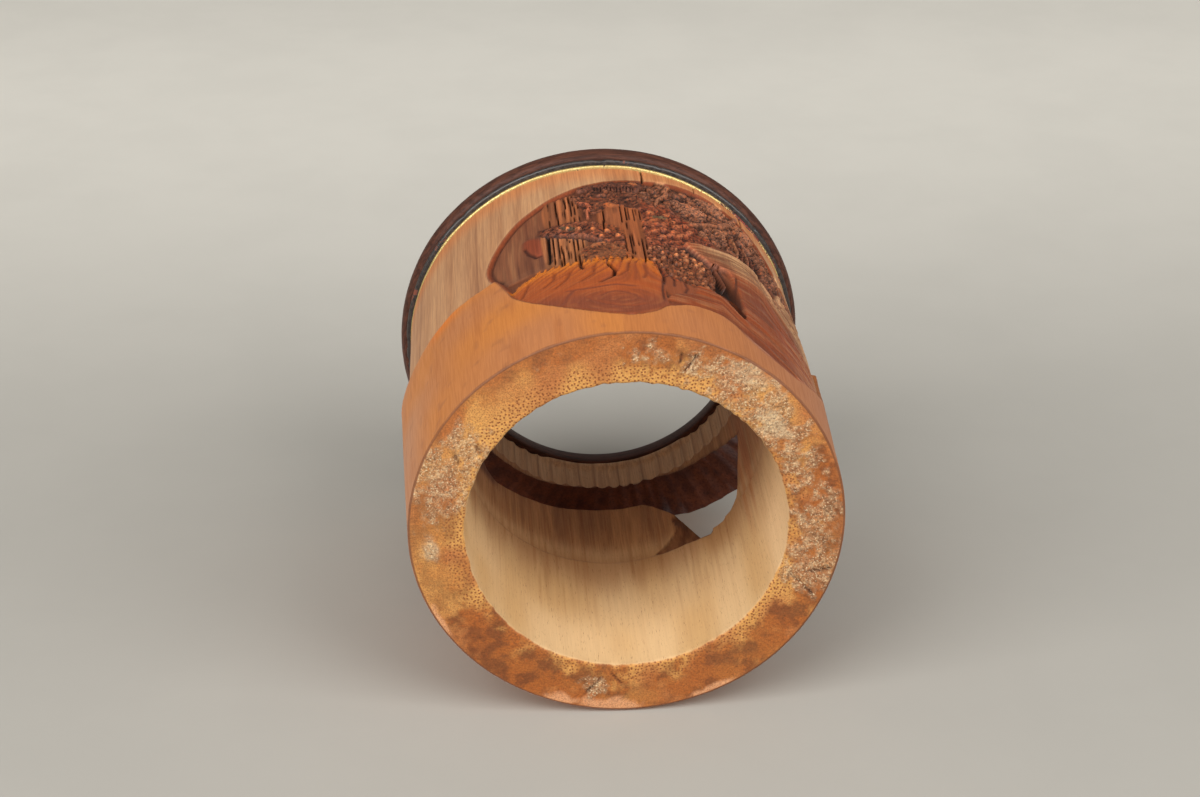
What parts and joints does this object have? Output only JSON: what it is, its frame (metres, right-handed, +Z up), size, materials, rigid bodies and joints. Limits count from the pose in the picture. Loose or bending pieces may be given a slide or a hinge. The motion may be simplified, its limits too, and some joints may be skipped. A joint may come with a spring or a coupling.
{
  "type": "carved bamboo brush pot",
  "caption": "Open bamboo tube carved in deep relief, pierced through its back wall, with a rounded hardwood rim over a black bead and a gilt string.",
  "frame": {"origin": "centre of the foot face, on the axis of the culm", "axes": "+Z up the axis from the foot to the rim, -Y to the front carving"},
  "size_m": [0.127, 0.127, 0.128],
  "materials": {
    "bamboo": "satin, polished skin, pared ground and carved relief",
    "gilt": "worn gilding on red lacquer",
    "black_lacquer": "worn semi-gloss lacquer",
    "hardwood": "waxed, satin"
  },
  "bodies": {
    "root": {"bamboo_body": "bamboo", "gilt_string": "gilt", "lacquer_bead": "black_lacquer", "rim_ring": "hardwood"}
  },
  "joints": []
}
